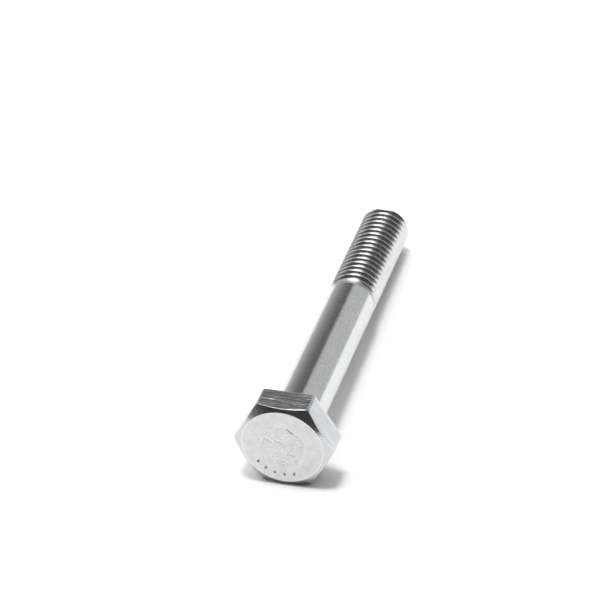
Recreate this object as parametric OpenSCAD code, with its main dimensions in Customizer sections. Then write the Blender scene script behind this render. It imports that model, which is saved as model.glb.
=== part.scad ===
// Hex bolt, partly threaded, lying along X with its head at the +X end.
// Origin: the middle of the bearing face under the head. One flat of the hexagon faces down.

/* [Head] */
// Width across the flats of the hexagon
head_af = 17; // [16.7:0.05:17]
// Height of the head above its bearing face
head_height = 6.4; // [6.2:0.1:6.6]
// Radius of the six long corners
corner_radius = 0.8; // [0.6:0.1:1.6]
// Diameter of the flat circle inside the end chamfer
chamfer_circle_d = 15.6; // [14.8:0.1:16.2]
// Angle between the end chamfer and the end face
chamfer_angle = 30; // [25:1:35]
// Diameter of the shallow hollow that forging leaves in the end face
hollow_d = 9; // [7:0.5:10]
// Depth of the hollow
hollow_depth = 0.12; // [0.05:0.01:0.2]
// Number of stamped pips in the arc near the rim
pip_count = 5; // [3:1:9]
// Angle from one pip to the next
pip_spacing = 17.5; // [8:0.5:30]
// Angle of the middle pip from straight down, turning towards -Y
pip_arc_turn = 16; // [-90:1:90]
// Diameter of one pip
pip_d = 0.7; // [0.5:0.1:1]
// Depth of one pip
pip_depth = 0.2; // [0.05:0.01:0.3]

/* [Bearing face] */
// Diameter of the raised washer face
washer_face_d = 15.6; // [14.6:0.1:16.2]
// Height of the washer face below the hexagon
washer_face_height = 0.5; // [0.3:0.1:0.6]
// Radius of the fillet between the bearing face and the shank
fillet_radius = 0.6; // [0.4:0.1:0.8]

/* [Shank] */
// Length from the bearing face to the point
bolt_length = 70; // [55:5:125]
// Diameter of the plain shank
shank_d = 9.9; // [9.8:0.05:10]
// Length of the bevel where the shank steps down to the rolling diameter
shoulder_length = 1.3; // [0.6:0.1:1.5]

/* [Thread] */
// Length of the full thread, measured from the point
thread_length = 26; // [20:1:40]
// Diameter over the crests
thread_major_d = 9.84; // [9.74:0.02:9.96]
// Diameter at the bottom of the grooves
thread_minor_d = 8.12; // [8:0.02:8.16]
// Diameter that the blank has before the thread is rolled
rolling_d = 8.94; // [8.8:0.02:9]
// Pitch of the thread
pitch = 1.5; // [1.5:0.25:1.5]
// Width of the flat on each crest
crest_width = 0.2; // [0.14:0.02:0.24]
// Angle of each flank to the thread's cross plane
flank_angle = 30; // [29:0.5:31]
// Length over which the grooves run out towards the shank
runout_length = 1.5; // [1:0.1:1.5]
// Flat steps in one turn of the ridge
steps_per_turn = 36; // [24:12:48]

/* [Point] */
// Diameter of the end face at the point
point_d = 7; // [6.6:0.1:7.4]
// Length of the bevel on the core at the point
point_length = 0.9; // [0.6:0.1:1]

/* [Hidden] */
$fn = 96;
steel = [0.76, 0.77, 0.78];
bright_steel = [0.84, 0.85, 0.86];
dark_steel = [0.62, 0.63, 0.65];

arc_steps = 4;
shank_r = shank_d / 2;
major_r = thread_major_d / 2;
minor_r = thread_minor_d / 2;
rolling_r = rolling_d / 2;
point_r = point_d / 2;
neck_r = shank_r + fillet_radius;

// Places along the bolt, counted from the bearing face towards the head
point_z = -bolt_length;
bevel_z = point_z + point_length;
core_top_z = point_z + thread_length;
runout_top_z = core_top_z + runout_length;
shoulder_top_z = runout_top_z + shoulder_length;

// The ridge starts just inside the bevel of the point and fades in the runout
point_slope = (minor_r - point_r) / point_length;
ridge_depth = major_r - minor_r;
ridge_start_z = point_z + 0.57 * pitch;
ridge_end_z = runout_top_z - 0.4 * pitch;
ridge_turns = (ridge_end_z - ridge_start_z) / pitch;
ridge_steps = floor(ridge_turns * steps_per_turn);
ridge_least_height = 0.03;
fade_turns = 0.8;

// Turns a shape built along Z so that its top faces +X
module lay_down() {
    rotate([0, 90, 0]) children();
}

function at(r, a) = [r * cos(a), r * sin(a)];

// Hexagon with arcs for corners, one corner pointing along Y
function round_hexagon(af, radius) = [
    for (corner = [0:5], step = [0:arc_steps])
        let (middle = 30 + 60 * corner)
        at((af - 2 * radius) / sqrt(3), middle)
            + at(radius, middle - 30 + 60 * step / arc_steps)
];

module hex_head() {
    widest_r = head_af / sqrt(3) + 1;
    cone_drop = (widest_r - chamfer_circle_d / 2) * tan(chamfer_angle);
    color(bright_steel) lay_down() difference() {
        intersection() {
            translate([0, 0, washer_face_height])
                linear_extrude(head_height - washer_face_height)
                    polygon(round_hexagon(head_af, corner_radius));
            union() {
                cylinder(r = widest_r, h = head_height - cone_drop);
                translate([0, 0, head_height - cone_drop])
                    cylinder(r1 = widest_r, r2 = chamfer_circle_d / 2, h = cone_drop);
            }
        }
        forged_hollow();
        stamped_pips();
    }
}

// Shallow dish with sloping sides in the end face
module forged_hollow() {
    translate([0, 0, head_height - hollow_depth])
        cylinder(d1 = hollow_d - 1.5, d2 = hollow_d + 1.5, h = 2 * hollow_depth);
}

// Arc of plain round pips near the lower rim of the end face
module stamped_pips() {
    arc_r = (chamfer_circle_d + hollow_d) / 4;
    for (i = [0:pip_count - 1])
        rotate([0, 0, pip_spacing * (i - (pip_count - 1) / 2) - pip_arc_turn])
            translate([arc_r, 0, head_height - pip_depth])
                cylinder(d = pip_d, h = 2 * pip_depth, $fn = 24);
}

// Raised ring that bears on the clamped part
module washer_face() {
    color(bright_steel) lay_down() difference() {
        cylinder(d = washer_face_d, h = washer_face_height);
        translate([0, 0, -1]) cylinder(r = neck_r, h = washer_face_height + 2);
    }
}

// Neck that joins the hexagon to the shank, with a hollow fillet below the bearing face
module underhead_fillet() {
    color(steel) lay_down() rotate_extrude() difference() {
        translate([0, -fillet_radius])
            square([neck_r, fillet_radius + washer_face_height]);
        translate([neck_r, -fillet_radius]) circle(r = fillet_radius);
    }
}

module plain_shank() {
    color(steel) lay_down()
        translate([0, 0, shoulder_top_z])
            cylinder(r = shank_r, h = -fillet_radius - shoulder_top_z);
}

module shank_shoulder() {
    color(steel) lay_down()
        translate([0, 0, runout_top_z])
            cylinder(r1 = rolling_r, r2 = shank_r, h = shoulder_length);
}

module thread_runout() {
    color(steel) lay_down()
        translate([0, 0, core_top_z])
            cylinder(r1 = minor_r, r2 = rolling_r, h = runout_length);
}

module thread_core() {
    color(dark_steel) lay_down()
        translate([0, 0, bevel_z])
            cylinder(r = minor_r, h = core_top_z - bevel_z);
}

module chamfered_point() {
    color(steel) lay_down()
        translate([0, 0, point_z])
            cylinder(r1 = point_r, r2 = minor_r, h = point_length);
}

// Radius of the body under the ridge at height z
function body_r(z) =
    z < bevel_z ? point_r + (z - point_z) * point_slope
    : z < core_top_z ? minor_r
    : minor_r + (rolling_r - minor_r) * min(1, (z - core_top_z) / runout_length);

// Radius that the crest may reach at step i and height z
function crest_r(i, z) =
    let (
        fade = min(1, (ridge_steps - i) / (fade_turns * steps_per_turn)),
        bevel = point_r + (z - point_z) * 1.1,
        full = min(major_r, bevel),
        faded = rolling_r + (full - rolling_r) * fade
    )
    max(body_r(z) + ridge_least_height, min(full, faded));

// Point of the ridge at step i, on the side below (-1) or above (1) its middle
function ridge_point(i, side, on_crest) =
    let (
        angle = 360 * i / steps_per_turn,
        middle = ridge_start_z + pitch * i / steps_per_turn,
        foot = crest_width / 2 + ridge_depth * tan(flank_angle),
        half = on_crest ? foot - (crest_r(i, middle) - minor_r) * tan(flank_angle) : foot,
        z = middle + side * half,
        r = on_crest ? crest_r(i, z) : body_r(z)
    )
    [r * cos(angle), r * sin(angle), z];

// Right-hand helical ridge, one closed skin of four-sided rings
module thread_ridge() {
    points = [
        for (i = [0:ridge_steps])
            each [
                ridge_point(i, -1, false),
                ridge_point(i, -1, true),
                ridge_point(i, 1, true),
                ridge_point(i, 1, false)
            ]
    ];
    sides = [
        for (i = [0:ridge_steps - 1], k = [0:3])
            let (
                a = 4 * i + k,
                b = 4 * i + (k + 1) % 4
            )
            each [[a, a + 4, b + 4], [a, b + 4, b]]
    ];
    last = 4 * ridge_steps;
    ends = [[0, 1, 2, 3], [last + 3, last + 2, last + 1, last]];
    color(bright_steel) lay_down() polyhedron(points, concat(sides, ends), convexity = 10);
}

hex_head();
washer_face();
underhead_fillet();
plain_shank();
shank_shoulder();
thread_runout();
thread_core();
thread_ridge();
chamfered_point();
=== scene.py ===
import math

import bmesh
import bpy
from mathutils import Matrix, Vector, noise


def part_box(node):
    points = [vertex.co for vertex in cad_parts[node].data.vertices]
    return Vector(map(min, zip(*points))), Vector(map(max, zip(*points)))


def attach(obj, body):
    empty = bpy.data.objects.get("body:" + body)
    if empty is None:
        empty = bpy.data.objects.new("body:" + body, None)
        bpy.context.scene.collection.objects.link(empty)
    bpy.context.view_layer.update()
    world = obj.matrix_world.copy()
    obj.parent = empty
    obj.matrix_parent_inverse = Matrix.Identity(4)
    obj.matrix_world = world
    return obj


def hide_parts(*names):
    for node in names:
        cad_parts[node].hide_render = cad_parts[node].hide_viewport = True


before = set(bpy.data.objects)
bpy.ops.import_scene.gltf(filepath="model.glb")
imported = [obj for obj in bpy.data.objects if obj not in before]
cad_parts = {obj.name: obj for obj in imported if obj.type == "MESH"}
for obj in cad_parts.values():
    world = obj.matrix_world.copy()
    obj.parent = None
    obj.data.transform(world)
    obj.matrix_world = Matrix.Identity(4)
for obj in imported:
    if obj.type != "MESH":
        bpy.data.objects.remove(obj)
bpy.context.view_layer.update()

MM = 0.001

# ---------------------------------------------------------------- sizes of the bolt, from the frame

hex_low, hex_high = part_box("hex_head")
shank_low, shank_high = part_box("plain_shank")
runout_low, runout_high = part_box("thread_runout")
core_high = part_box("thread_core")[1]
point_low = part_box("chamfered_point")[0]

flat_half = hex_high.z
head_top_x = hex_high.x
hex_under_x = hex_low.x
bearing_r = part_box("washer_face")[1].y
neck_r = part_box("underhead_fillet")[1].y
shank_r = shank_high.y
fillet = neck_r - shank_r
shoulder_x = shank_low.x
runout_x = runout_high.x
core_top_x = runout_low.x
rolling_r = runout_high.y
minor_r = core_high.y
major_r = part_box("thread_ridge")[1].y
tip_x = point_low.x

pitch = 1.5 * MM
tip_r = 3.5 * MM
corner_r = 0.8 * MM
chamfer_circle_r = 7.8 * MM
half_corner = math.radians(30)
chamfer_slope = math.tan(math.radians(30))
flank_cot = 1 / math.tan(math.radians(30))

# ---------------------------------------------------------------- writing node trees as sums


class Wire:
    """An output of a node that plain arithmetic can be written on."""

    def __init__(self, bench, socket):
        self.bench = bench
        self.socket = socket

    def math(self, operation, *values):
        return self.bench.add("ShaderNodeMath", {"operation": operation}, dict(enumerate(values)))

    def __add__(self, other):
        return self.math("ADD", self, other)

    def __radd__(self, other):
        return self.math("ADD", other, self)

    def __sub__(self, other):
        return self.math("SUBTRACT", self, other)

    def __rsub__(self, other):
        return self.math("SUBTRACT", other, self)

    def __mul__(self, other):
        return self.math("MULTIPLY", self, other)

    def __rmul__(self, other):
        return self.math("MULTIPLY", other, self)

    def __truediv__(self, other):
        return self.math("DIVIDE", self, other)

    def __neg__(self):
        return self.math("MULTIPLY", self, -1.0)

    def __abs__(self):
        return self.math("ABSOLUTE", self)

    def fraction(self):
        return self.math("FRACT", self)

    def sine(self):
        return self.math("SINE", self)

    def cosine(self):
        return self.math("COSINE", self)

    def least(self, other, softness=0.0):
        return self.math("SMOOTH_MIN", self, other, softness)

    def most(self, other, softness=0.0):
        return self.math("SMOOTH_MAX", self, other, softness)

    def rise(self, start, end, low=0.0, high=1.0):
        """Smooth step from low to high while the value goes from start to end."""
        return self.bench.add(
            "ShaderNodeMapRange",
            {"interpolation_type": "SMOOTHSTEP"},
            {"Value": self, "From Min": start, "From Max": end, "To Min": low, "To Max": high},
        )


class Bench:
    """A node tree being built."""

    def __init__(self, tree):
        self.tree = tree

    def add(self, kind, settings=None, values=None, out=0):
        """One node: its settings first, then the values or wires of its sockets; gives one output."""
        node = self.tree.nodes.new(kind)
        for name, value in (settings or {}).items():
            setattr(node, name, value)
        for key, value in (values or {}).items():
            if isinstance(value, Wire):
                self.tree.links.new(value.socket, node.inputs[key])
            else:
                node.inputs[key].default_value = value
        return Wire(self, node.outputs[out]) if len(node.outputs) else None

    def split(self, vector):
        node = self.add("ShaderNodeSeparateXYZ", {}, {0: vector}).socket.node
        return [Wire(self, node.outputs[i]) for i in range(3)]

    def join(self, x, y, z):
        return self.add("ShaderNodeCombineXYZ", {}, {0: x, 1: y, 2: z})

    def noise(self, vector, scale, detail=3.0, roughness=0.5):
        values = {"Vector": vector, "Scale": scale, "Detail": detail, "Roughness": roughness}
        return self.add("ShaderNodeTexNoise", {}, values)

    def mix_colour(self, share, first, second):
        return self.add(
            "ShaderNodeMix", {"data_type": "RGBA"}, {0: share, 6: first, 7: second}, out=2
        )


# ---------------------------------------------------------------- steels


def steel(name, colour, grain):
    """A bare stainless steel; grain(bench, place) gives tint, roughness, bump height and depth."""
    material = bpy.data.materials.new(name)
    material.use_nodes = True
    material.node_tree.nodes.clear()
    bench = Bench(material.node_tree)
    place = bench.add("ShaderNodeTexCoord", {}, {}, out=3)
    tint, roughness, height, depth = grain(bench, place)
    dull = [part * 0.82 for part in colour] + [1.0]
    bright = [min(0.96, part * 1.22) for part in colour] + [1.0]
    shade = bench.mix_colour(tint, dull, bright)
    bump = bench.add("ShaderNodeBump", {}, {"Strength": 1.0, "Distance": depth, "Height": height})
    surface = bench.add(
        "ShaderNodeBsdfPrincipled",
        {},
        {"Base Color": shade, "Metallic": 1.0, "Roughness": roughness, "Normal": bump},
    )
    bench.add("ShaderNodeOutputMaterial", {}, {"Surface": surface})
    return material


def painted_sheen(bench):
    """Painted shine of the head at each point: 0.5 plain, 1 (a painted highlight) on rounded edges
    and relief ridges, 0 (painted shade) in relief pits.
    """
    return bench.add("ShaderNodeAttribute", {"attribute_name": "painted_sheen"}, {}, out=2)


def forged_grain(bench, place):
    """Satin end face: cloudy, with fine pits left by the die."""
    cloud = bench.noise(place, 700.0, 3.0, 0.55)
    pits = bench.noise(place, 3000.0, 3.0, 0.6)
    # painted highlight on rounded edges and relief ridges, painted shade in relief pits, over random
    # cloudy and pitted tone
    tint = painted_sheen(bench) + (cloud - 0.5) + (pits - 0.5) * 0.6
    return tint, 0.34 + 0.1 * cloud, cloud * 0.6 + pits * 0.4, 0.00003


def wiped_grain(bench, place):
    """Flats: fine lines left by the die, running round the hexagon."""
    x, y, z = bench.split(place)
    lines = bench.noise(bench.join(x * 24.0, y, z), 105.0, 3.0, 0.6)
    blur = bench.noise(place, 1500.0, 3.0, 0.5)
    # painted highlight on the rounded edges, over the die lines
    tint = painted_sheen(bench) + (lines - 0.5) * 2.4 + (blur - 0.5) * 0.5
    return tint, 0.13 + 0.08 * blur, lines * 0.85 + blur * 0.15, 0.0001


def turned_grain(bench, place):
    """Chamfer and washer face: cut metal with a peppering of tiny marks."""
    pepper = bench.noise(place, 2400.0, 3.0, 0.6)
    cloud = bench.noise(place, 500.0, 2.0, 0.5)
    # painted highlight on the rounded edges, over the cloudy tone
    tint = painted_sheen(bench) + (cloud - 0.5) * 0.4
    return tint, 0.13 + 0.12 * pepper, pepper, 0.00003


def drawn_grain(bench, place):
    """Shank: bright drawn bar with soft mottling and faint rings."""
    x, y, z = bench.split(place)
    mottle = bench.noise(place, 2100.0, 3.0, 0.6)
    patches = bench.noise(place, 240.0, 2.0, 0.5).rise(0.4, 0.7)
    rings = bench.noise(bench.join(x * 14.0, y, z), 260.0, 4.0, 0.6)
    height = (mottle - 0.5) * (0.5 + patches) + rings * 0.25
    return mottle * 0.9 + rings * 0.4 - 0.15, 0.10 + 0.08 * mottle, height, 0.00002


def rolled_grain(bench, place):
    """Thread: burnished by the rolling dies, but not the bevel beside the shank."""
    mottle = bench.noise(place, 900.0, 3.0, 0.5)
    unrolled = bench.split(place)[0].rise(core_top_x + 0.9 * MM, runout_x)
    tint = mottle - 0.4 * unrolled
    return tint, 0.19 + 0.08 * mottle + 0.17 * unrolled, mottle, 0.000008


forged_steel = steel("forged_face_steel", (0.62, 0.62, 0.62), forged_grain)
wiped_steel = steel("wiped_flat_steel", (0.55, 0.56, 0.575), wiped_grain)
turned_steel = steel("turned_chamfer_steel", (0.55, 0.555, 0.565), turned_grain)
drawn_steel = steel("drawn_shank_steel", (0.65, 0.655, 0.66), drawn_grain)
rolled_steel = steel("rolled_thread_steel", (0.66, 0.665, 0.67), rolled_grain)

# ---------------------------------------------------------------- helpers for finished pieces


def finish_mesh(name, mesh, nodes, sharp=40.0):
    """Makes a mesh the piece that stands for the named regions of the bolt."""
    mesh.validate()
    for polygon in mesh.polygons:
        polygon.use_smooth = True
    mesh.set_sharp_from_angle(angle=math.radians(sharp))
    piece = bpy.data.objects.new(name, mesh)
    bpy.context.scene.collection.objects.link(piece)
    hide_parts(*nodes)
    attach(piece, "root")
    return piece


def lathe_mesh(name, rings, materials, ring_material):
    """A closed-round skin through rings of points; ring_material gives each band's material."""
    points = [p for ring in rings for p in ring]
    around = len(rings[0])
    faces = []
    slots = []
    for i in range(len(rings) - 1):
        for k in range(around):
            a = i * around + k
            b = i * around + (k + 1) % around
            faces.append((a, b, b + around, a + around))
            slots.append(ring_material[i])
    mesh = bpy.data.meshes.new(name)
    mesh.from_pydata(points, [], faces)
    for material in materials:
        mesh.materials.append(material)
    mesh.polygons.foreach_set("material_index", slots)
    return mesh


def smooth_step(value, start, end):
    t = min(1.0, max(0.0, (value - start) / (end - start)))
    return t * t * (3 - 2 * t)


# ---------------------------------------------------------------- head

FACE, FLAT, TURNED = 0, 1, 2
# levels of painted shine: plain, and a painted highlight for the rounded edges
PLAIN, PAINTED_HIGHLIGHT = 0.5, 1.0
columns_per_flat = 64
columns_per_corner = 10
fillet_rows = 7
bend_rows = 5
face_hub_r = 0.2 * MM
relief_end_r = 7.6 * MM


def hexagon_outline():
    """Points (y, z) round the hexagon, one corner along +Y, with arcs for corners."""
    outline = []
    centre_r = (flat_half - corner_r) / math.cos(half_corner)
    for corner in range(6):
        middle = math.radians(60 * corner)
        centre = Vector((centre_r * math.cos(middle), centre_r * math.sin(middle)))
        for step in range(columns_per_corner):
            turn = middle + half_corner * (2 * step / columns_per_corner - 1)
            outline.append(centre + corner_r * Vector((math.cos(turn), math.sin(turn))))
        leave = middle + half_corner
        start = centre + corner_r * Vector((math.cos(leave), math.sin(leave)))
        along = Vector((-math.sin(leave), math.cos(leave))) * centre_r
        for step in range(columns_per_flat):
            outline.append(start + along * step / columns_per_flat)
    return outline


def head_path(outline_r):
    """Section of the head through the outline at outline_r: rows of (x, r, finish, painted shine)."""
    chamfer_edge_x = head_top_x - (outline_r - chamfer_circle_r) * chamfer_slope
    rows = []
    for step in range(fillet_rows + 1):
        turn = math.radians(90 * step / fillet_rows)
        x, r = -fillet + fillet * math.sin(turn), neck_r - fillet * math.cos(turn)
        rows.append((x, r, TURNED, PLAIN))
    corners = [
        # x, r, rounding, rows from the corner before, finish of those rows
        (0, bearing_r, 0.12 * MM, 5, TURNED),
        (hex_under_x, bearing_r, 0.1 * MM, 2, TURNED),
        (hex_under_x, outline_r, 0.16 * MM, 4, TURNED),
        (chamfer_edge_x, outline_r, 0.09 * MM, 10, FLAT),
        (head_top_x, chamfer_circle_r, 0.12 * MM, 8, TURNED),
        (head_top_x, face_hub_r, 0, 78, FACE),
    ]
    last = Vector((0, neck_r))
    for corner, after in zip(corners, corners[1:] + [None]):
        here = Vector(corner[:2])
        rounding, run_rows, finish = corner[2:]
        start = Vector(rows[-1][:2])
        arrive = here - (here - last).normalized() * rounding
        for step in range(1, run_rows + 1):
            x, r = start.lerp(arrive, step / run_rows)
            rows.append((x, r, finish, PLAIN))
        if after:
            leave = here + (Vector(after[:2]) - here).normalized() * rounding
            for step in range(1, bend_rows + 1):
                t = step / bend_rows
                x, r = arrive * (1 - t) ** 2 + here * 2 * t * (1 - t) + leave * t**2
                # the rounded edges get a painted highlight in their colour
                rows.append((x, r, finish if t < 0.5 else after[4], PAINTED_HIGHLIGHT))
        last = here
    return rows


pip_count = 5
pip_spacing = math.radians(17.5)
pip_middle = math.radians(254)
pip_ring_r = 6.15 * MM
pip_depth = 0.2 * MM
pip_floor_r = 0.16 * MM
pip_rim_r = 0.42 * MM
forging_marks = [
    # start (y, z), end (y, z), half width, depth, all in mm
    ((0.9, 4.3), (2.5, 3.3), 0.32, 0.07),
    ((0.1, 4.9), (0.4, 4.6), 0.26, 0.06),
    ((1.1, 3.7), (1.8, 3.2), 0.3, -0.07),
    ((-3.3, 1.4), (-2.2, 0.8), 0.45, 0.06),
    ((-1.4, 1.2), (-0.2, 0.7), 0.45, 0.045),
    ((1.2, -1.6), (2.3, -1.9), 0.5, 0.06),
    ((4.5, 2.3), (4.6, 1.9), 0.3, 0.06),
    ((-0.4, -3.2), (0.9, -3.9), 0.45, 0.045),
]


def stroke(y, z, start, end, half_width):
    """1 on the line from start to end, fading to 0 at half_width from it."""
    place, start, end = Vector((y, z)), Vector(start) * MM, Vector(end) * MM
    run = end - start
    share = min(1.0, max(0.0, (place - start).dot(run) / run.length_squared))
    return 1 - smooth_step((place - start - run * share).length, 0.0, half_width * MM)


def forged_relief(y, z):
    """How far the end face sinks at (y, z): an uneven hollow, die marks and stamped pips."""
    r = math.hypot(y, z)
    turn = math.atan2(z, y)
    wander = noise.noise(Vector((1.7 * math.cos(turn), 1.7 * math.sin(turn), 3.1)))
    rim = (4.2 + 0.8 * wander) * MM
    deep = 0.09 + 0.05 * math.cos(turn - math.radians(60))
    sink = deep * MM * (1 - smooth_step(r, rim - 0.5 * MM, rim + 0.5 * MM))
    drag = Vector((y * 0.8 + z * 0.6, (z * 0.8 - y * 0.6) * 1.7, 0.7 * MM))
    rough = noise.noise(drag / (1.5 * MM)) * 0.042
    rough += noise.noise(drag / (0.6 * MM)) * 0.02
    lumps = noise.noise(Vector((y, z, 4.2 * MM)) / (2.4 * MM)) * 0.05
    inside = 1 - 0.75 * smooth_step(r, rim - 0.6 * MM, rim + 0.8 * MM)
    sink += (rough * inside + lumps) * MM * (1 - smooth_step(r, 6.6 * MM, 7.4 * MM))
    bend = Vector((y, z, 6.3 * MM)) / (0.7 * MM)
    bent_y = y + 0.3 * MM * noise.noise(bend)
    bent_z = z + 0.3 * MM * noise.noise(bend + Vector((0, 0, 5.0)))
    for start, end, half_width, depth in forging_marks:
        sink += depth * MM * stroke(bent_y, bent_z, start, end, half_width)
    for i in range(pip_count):
        at = pip_middle + pip_spacing * (i - (pip_count - 1) / 2)
        away = math.hypot(y - pip_ring_r * math.cos(at), z - pip_ring_r * math.sin(at))
        sink += pip_depth * (1 - smooth_step(away, pip_floor_r, pip_rim_r))
    return sink


def painted_relief_sheen(y, z):
    """Painted light on the forged relief: its ridges get a painted highlight, its pits painted shade.
    """
    reach = 0.16 * MM
    around = forged_relief(y + reach, z) + forged_relief(y - reach, z)
    around += forged_relief(y, z + reach) + forged_relief(y, z - reach)
    return PLAIN + (around / 4 - forged_relief(y, z)) / (0.017 * MM)


def make_head():
    outline = hexagon_outline()
    paths = [head_path(p.length) for p in outline]
    rings, painted_shines = [], []
    for row in range(len(paths[0])):
        ring = []
        for point, path in zip(outline, paths):
            x, r, finish, painted_shine = path[row]
            y, z = point.normalized() * r
            if finish == FACE and painted_shine == PLAIN:
                fade = 1 - smooth_step(r, relief_end_r - 0.4 * MM, relief_end_r)
                x -= forged_relief(y, z) * fade
                # paints a highlight on the relief's ridges and shade in its pits and pips
                painted_shine += (painted_relief_sheen(y, z) - PLAIN) * fade
            ring.append((x, y, z))
            painted_shines.append(painted_shine)
        rings.append(ring)
    centre_x = sum(p[0] for p in rings[-1]) / len(outline)
    rings.append([(centre_x, 0, 0)] * len(outline))
    painted_shines += [PLAIN] * len(outline)
    bands = [paths[0][row + 1][2] for row in range(len(rings) - 2)] + [FACE]
    mesh = lathe_mesh("head_skin", rings, [forged_steel, wiped_steel, turned_steel], bands)
    # stores the painted shine: painted highlights on edges and relief ridges, painted shade in relief
    # pits
    mesh.attributes.new("painted_sheen", "FLOAT", "POINT").data.foreach_set("value", painted_shines)
    weld(mesh)
    nodes = ["hex_head", "washer_face", "underhead_fillet"]
    return finish_mesh("forged_head", mesh, nodes, 50.0)


def weld(mesh):
    """Merges doubled points and turns all faces outwards."""
    skin = bmesh.new()
    skin.from_mesh(mesh)
    bmesh.ops.remove_doubles(skin, verts=skin.verts, dist=0.0005 * MM)
    bmesh.ops.recalc_face_normals(skin, faces=skin.faces)
    skin.to_mesh(mesh)
    skin.free()


# ---------------------------------------------------------------- shank

shank_rows = 120
shank_columns = 128
calm_rows = 6
wave_height = 0.004 * MM


def make_shank():
    """Plain round stretch between the neck fillet and the bevel, with a drawn bar's soft waves."""
    rings = []
    for row in range(shank_rows + 1):
        x = -fillet + (shoulder_x + fillet) * row / shank_rows
        from_end = min(row, shank_rows - row)
        wave = min(1.0, from_end / calm_rows) * wave_height
        ring = []
        for column in range(shank_columns):
            turn = 2 * math.pi * column / shank_columns
            ripple = noise.noise(Vector((x / (3.2 * MM), 2 * math.cos(turn), 2 * math.sin(turn))))
            r = shank_r + wave * ripple
            ring.append((x, r * math.cos(turn), r * math.sin(turn)))
        rings.append(ring)
    mesh = lathe_mesh("shank_skin", rings, [drawn_steel], [0] * shank_rows)
    weld(mesh)
    return finish_mesh("drawn_shank", mesh, ["plain_shank"])


# ---------------------------------------------------------------- thread, as geometry nodes

crest_flat = 0.2 * MM
crest_soft = 1.0 * MM
crest_lift = crest_soft / 4 * (1 - crest_flat / 2 * flank_cot / crest_soft) ** 2

thread_sizes = {
    "Pitch": pitch,
    "Crest radius": major_r + crest_lift,
    "Root radius": minor_r,
    "Rolling radius": rolling_r,
    "Shank radius": shank_r,
    "Point radius": tip_r,
    "Shoulder place": shoulder_x,
    "Bevel end place": runout_x,
    "Fade start place": core_top_x + 0.65 * MM,
    "Fade end place": runout_x + 0.2 * MM,
    "Point place": tip_x,
    "First crest turn": 0.57,
    "Crest flat": crest_flat,
    "Crest softness": crest_soft,
    "Crest wear": 0.14 * MM,
    "Root softness": 0.35 * MM,
    "Bevel softness": 0.05 * MM,
    "Bevel join softness": 0.2 * MM,
    "Point steepness": 1.1,
    "Point softness": 0.2 * MM,
    "Scuff height": 0.012 * MM,
    "Dish depth": 0.3 * MM,
}
rows_per_turn = 22
cap_rows = 40
thread_columns = 132


def thread_tree():
    """Winds a flat grid into the bolt's threaded end: bevel, runout, right-hand thread and point."""
    tree = bpy.data.node_groups.new("thread_winding", "GeometryNodeTree")
    for name, value in thread_sizes.items():
        socket = tree.interface.new_socket(name, in_out="INPUT", socket_type="NodeSocketFloat")
        socket.default_value = value
    tree.interface.new_socket("Steel", in_out="INPUT", socket_type="NodeSocketMaterial")
    tree.interface.new_socket("Geometry", in_out="OUTPUT", socket_type="NodeSocketGeometry")
    bench = Bench(tree)
    entry = bench.add("NodeGroupInput").socket.node
    size = {s.name: Wire(bench, s) for s in entry.outputs}

    turn_step = size["Pitch"] / rows_per_turn
    cap_span = turn_step * cap_rows
    start = size["Point place"] - cap_span - size["Pitch"]
    length = shoulder_x - (tip_x - pitch - cap_rows * pitch / rows_per_turn)
    rows = math.ceil(length / (pitch / rows_per_turn)) + 1

    grid = bench.add(
        "GeometryNodeMeshGrid",
        {},
        {"Size X": 1.0, "Size Y": 1.0, "Vertices X": rows + 1, "Vertices Y": thread_columns + 1},
    )
    across, up, _ = bench.split(bench.add("GeometryNodeInputPosition"))
    turn = 0.5 - up
    raw = start + (across + 0.5) * turn_step * rows + size["Pitch"] * turn
    x = raw.most(size["Point place"]).least(size["Shoulder place"])
    angle = turn * (2 * math.pi)

    crest_place = size["Point place"] + size["First crest turn"] * size["Pitch"]
    phase = ((x - crest_place) / size["Pitch"] - turn + 0.5).fraction() - 0.5
    from_crest = abs(phase) * size["Pitch"]
    flank = size["Crest radius"] + (size["Crest flat"] * 0.5 - from_crest) * flank_cot
    thread = flank.least(size["Crest radius"], size["Crest softness"])
    thread = thread.least(size["Shank radius"], size["Crest wear"])
    thread = thread.most(size["Root radius"], size["Root softness"])

    fade = x.rise(size["Fade start place"], size["Fade end place"])
    thread = thread + (size["Rolling radius"] - thread) * fade
    bevel_length = size["Shoulder place"] - size["Bevel end place"]
    bevel_share = (x - size["Bevel end place"]) / bevel_length
    bevel = size["Rolling radius"] + (size["Shank radius"] - size["Rolling radius"]) * bevel_share
    bevel = (bevel + size["Bevel softness"]).least(size["Shank radius"], size["Bevel softness"])
    body = thread.most(bevel, size["Bevel join softness"])
    point = size["Point radius"] + (x - size["Point place"]) * size["Point steepness"]
    body = body.least(point, size["Point softness"])

    cap = ((size["Point place"] - raw) / cap_span).most(0.0).least(1.0)
    round_place = bench.join(x, angle.cosine() * shank_r, angle.sine() * shank_r)
    scuffs = bench.noise(round_place, 600.0, 2.0, 0.5) - 0.5
    calm = x.rise(size["Shoulder place"] - 0.6 * MM, size["Shoulder place"], 1.0, 0.0)
    r = (body + scuffs * size["Scuff height"] * calm) * (1 - cap)
    dish = cap.rise(0.0, 0.8) * size["Dish depth"]
    place = bench.join(x + dish, r * angle.sine(), -(r * angle.cosine()))

    skin = bench.add("GeometryNodeSetPosition", {}, {"Geometry": grid, "Position": place})
    skin = bench.add("GeometryNodeMergeByDistance", {}, {"Geometry": skin, "Distance": 0.0015 * MM})
    skin = bench.add("GeometryNodeRealizeInstances", {}, {"Geometry": skin})
    skin = bench.add("GeometryNodeSetMaterial", {}, {"Geometry": skin, "Material": size["Steel"]})
    bench.add("NodeGroupOutput", {}, {"Geometry": skin})
    return tree


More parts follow.
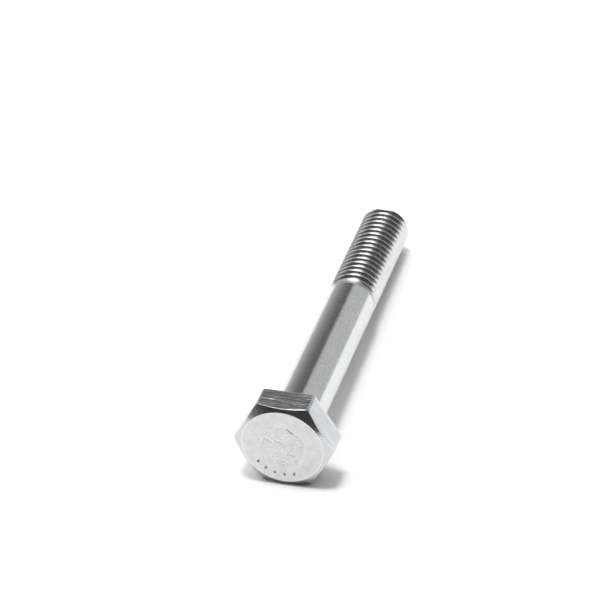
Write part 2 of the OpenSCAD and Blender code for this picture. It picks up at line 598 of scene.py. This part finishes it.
def make_thread():
    tree = thread_tree()
    blank = bpy.data.objects.new("thread_blank", bpy.data.meshes.new("thread_blank"))
    bpy.context.scene.collection.objects.link(blank)
    winding = blank.modifiers.new("winding", "NODES")
    winding.node_group = tree
    for item in tree.interface.items_tree:
        if item.in_out == "INPUT" and item.name in thread_sizes:
            winding[item.identifier] = thread_sizes[item.name]
        elif item.name == "Steel":
            winding[item.identifier] = rolled_steel
    shown = blank.evaluated_get(bpy.context.evaluated_depsgraph_get())
    mesh = bpy.data.meshes.new_from_object(shown)
    bpy.data.objects.remove(blank)
    mesh.name = "thread_skin"
    nodes = ["shank_shoulder", "thread_runout", "thread_core", "thread_ridge", "chamfered_point"]
    return finish_mesh("rolled_thread", mesh, nodes)


make_head()
make_shank()
make_thread()

# ---------------------------------------------------------------- floor that the bolt lies on

last_crest_x = tip_x + 1.2 * MM
lean = math.asin((flat_half - major_r) / (hex_under_x - last_crest_x))
floor_point = Vector((hex_under_x, 0, -flat_half))
floor_up = Vector((math.sin(lean), 0, math.cos(lean)))
floor_back, floor_front, floor_side = -0.4, 0.1, 0.3
paper_white = (0.92, 0.92, 0.92, 1.0)


def make_floor():
    """Plain white sheet under the hexagon's lower edge and the thread near the point."""
    along = Vector((math.cos(lean), 0, -math.sin(lean)))
    corners = []
    for reach, side in ((floor_back, -1), (floor_front, -1), (floor_front, 1), (floor_back, 1)):
        corners.append(floor_point + along * reach + Vector((0, side * floor_side, 0)))
    mesh = bpy.data.meshes.new("floor")
    mesh.from_pydata(corners, [], [(0, 1, 2, 3)])
    material = bpy.data.materials.new("white_paper")
    material.use_nodes = True
    material.node_tree.nodes.clear()
    bench = Bench(material.node_tree)
    surface = bench.add("ShaderNodeBsdfDiffuse", {}, {"Color": paper_white})
    bench.add("ShaderNodeOutputMaterial", {}, {"Surface": surface})
    mesh.materials.append(material)
    floor = bpy.data.objects.new("floor", mesh)
    bpy.context.scene.collection.objects.link(floor)


make_floor()

# ---------------------------------------------------------------- camera

camera_azimuth = math.radians(107.43)
camera_elevation = math.radians(34.42)
camera_roll = math.radians(-2.83)
camera_distance = 0.598
camera_aim = Vector((-35.26, -8.27, 3.62)) * MM
camera_lens = 184.7


def make_camera():
    data = bpy.data.cameras.new("camera")
    data.lens = camera_lens
    data.sensor_width = 36.0
    data.clip_start = 0.01
    data.clip_end = 20.0
    level = Vector((math.sin(camera_azimuth), -math.cos(camera_azimuth), 0))
    back = level * math.cos(camera_elevation) + Vector((0, 0, math.sin(camera_elevation)))
    camera = bpy.data.objects.new("camera", data)
    turn = (-back).to_track_quat("-Z", "Y").to_matrix().to_4x4()
    turn = turn @ Matrix.Rotation(camera_roll, 4, "Z")
    camera.matrix_world = Matrix.Translation(camera_aim + back * camera_distance) @ turn
    bpy.context.scene.collection.objects.link(camera)
    bpy.context.scene.camera = camera


make_camera()

# ---------------------------------------------------------------- studio light

studio_front = Vector((math.sin(camera_azimuth), -math.cos(camera_azimuth), 0))
studio_right = Vector((-studio_front.y, studio_front.x, 0))

overhead_lights = [
    # name, strength, width, lean to the left, lean to the back (all angles in degrees)
    ("key_light", 1.66, 14, 3.5, 2),
    ("side_light", 0.42, 20, 23, 4),
]
fill_level = 1.18
softbox_level = 4.4
softbox_middle_right = -0.1
left_glow_level = 0.8
right_glow_level = 0.8
left_wall_level = 0.3
panel_level = 0.64
studio_dark = 0.06
backdrop_level = 1.0


def make_overhead_light(name, strength, width, lean_left, lean_back):
    """Even light from above that draws shadows; what the steel mirrors is the studio in the world."""
    data = bpy.data.lights.new(name, "SUN")
    data.energy = strength
    data.angle = math.radians(width)
    light = bpy.data.objects.new(name, data)
    toward = floor_up - studio_right * math.tan(math.radians(lean_left))
    toward -= studio_front * math.tan(math.radians(lean_back))
    light.rotation_mode = "QUATERNION"
    light.rotation_quaternion = (-toward).to_track_quat("-Z", "Y")
    light.visible_glossy = False
    bpy.context.scene.collection.objects.link(light)


def make_world():
    """Dark studio in front, wall that pales towards the floor behind, and grey panel behind right.

    Each direction is split into height, front and right; rise() then works on their sines.
    """
    world = bpy.data.worlds.new("studio")
    bpy.context.scene.world = world
    world.use_nodes = True
    world.node_tree.nodes.clear()
    world.cycles.sampling_method = "NONE"
    bench = Bench(world.node_tree)
    direction = bench.add("ShaderNodeTexCoord", {}, {}, out=0)

    def along(axis):
        values = {0: direction, 1: axis}
        return bench.add("ShaderNodeVectorMath", {"operation": "DOT_PRODUCT"}, values, out=1)

    height = along(floor_up)
    front = along(studio_front)
    right = along(studio_right)
    wall = (0.645 - height * 0.87).most(0.138)
    behind = front.rise(-0.35, 0.15, 1.0, 0.0)
    shade = studio_dark + (wall - studio_dark) * behind
    left_wall = (-right).rise(0.78, 0.97) * height.rise(0.5, 0.8, 1.0, 0.0)
    left_glow = (-right).rise(0.42, 0.72) * height.rise(0.1, 0.45)
    left_glow = left_glow * front.rise(0.0, 0.55, 1.0, 0.0)
    right_glow = right.rise(0.6, 0.9) * height.rise(0.0, 0.5, 1.0, 0.0)
    shade = shade.most(left_wall * left_wall_level).most(left_glow * left_glow_level)
    shade = shade.most(right_glow * right_glow_level)
    panel = (right + front * 0.344).rise(-0.06, 0.07) * front.rise(0.0, 0.4, 1.0, 0.0)
    panel = panel * height.rise(0.62, 0.8, 1.0, 0.0)
    shade = shade + (panel_level - shade) * panel
    across = abs(right - softbox_middle_right).rise(0.02, 0.46, 1.0, 0.0)
    deep = abs(front).rise(0.36, 0.62, 1.0, 0.0)
    softbox = across * deep * height.rise(0.5, 0.6)
    mirrored = shade + softbox * softbox_level
    paths = bench.add("ShaderNodeLightPath").socket.node
    is_diffuse = Wire(bench, paths.outputs["Is Diffuse Ray"])
    is_camera = Wire(bench, paths.outputs["Is Camera Ray"])
    fill = (front - height * 0.6).rise(-0.6, 0.15, fill_level, 0.0) * (1 - right * 0.3)
    level = mirrored + (fill - mirrored) * is_diffuse
    level = level + (backdrop_level - level) * is_camera
    light = bench.add("ShaderNodeBackground", {}, {"Color": bench.join(level, level, level)})
    bench.add("ShaderNodeOutputWorld", {}, {"Surface": light})


for overhead_light in overhead_lights:
    make_overhead_light(*overhead_light)
make_world()

scene = bpy.context.scene
scene.view_settings.view_transform = "Standard"
scene.view_settings.look = "None"
scene.view_settings.exposure = 0.0
scene.view_settings.gamma = 1.0
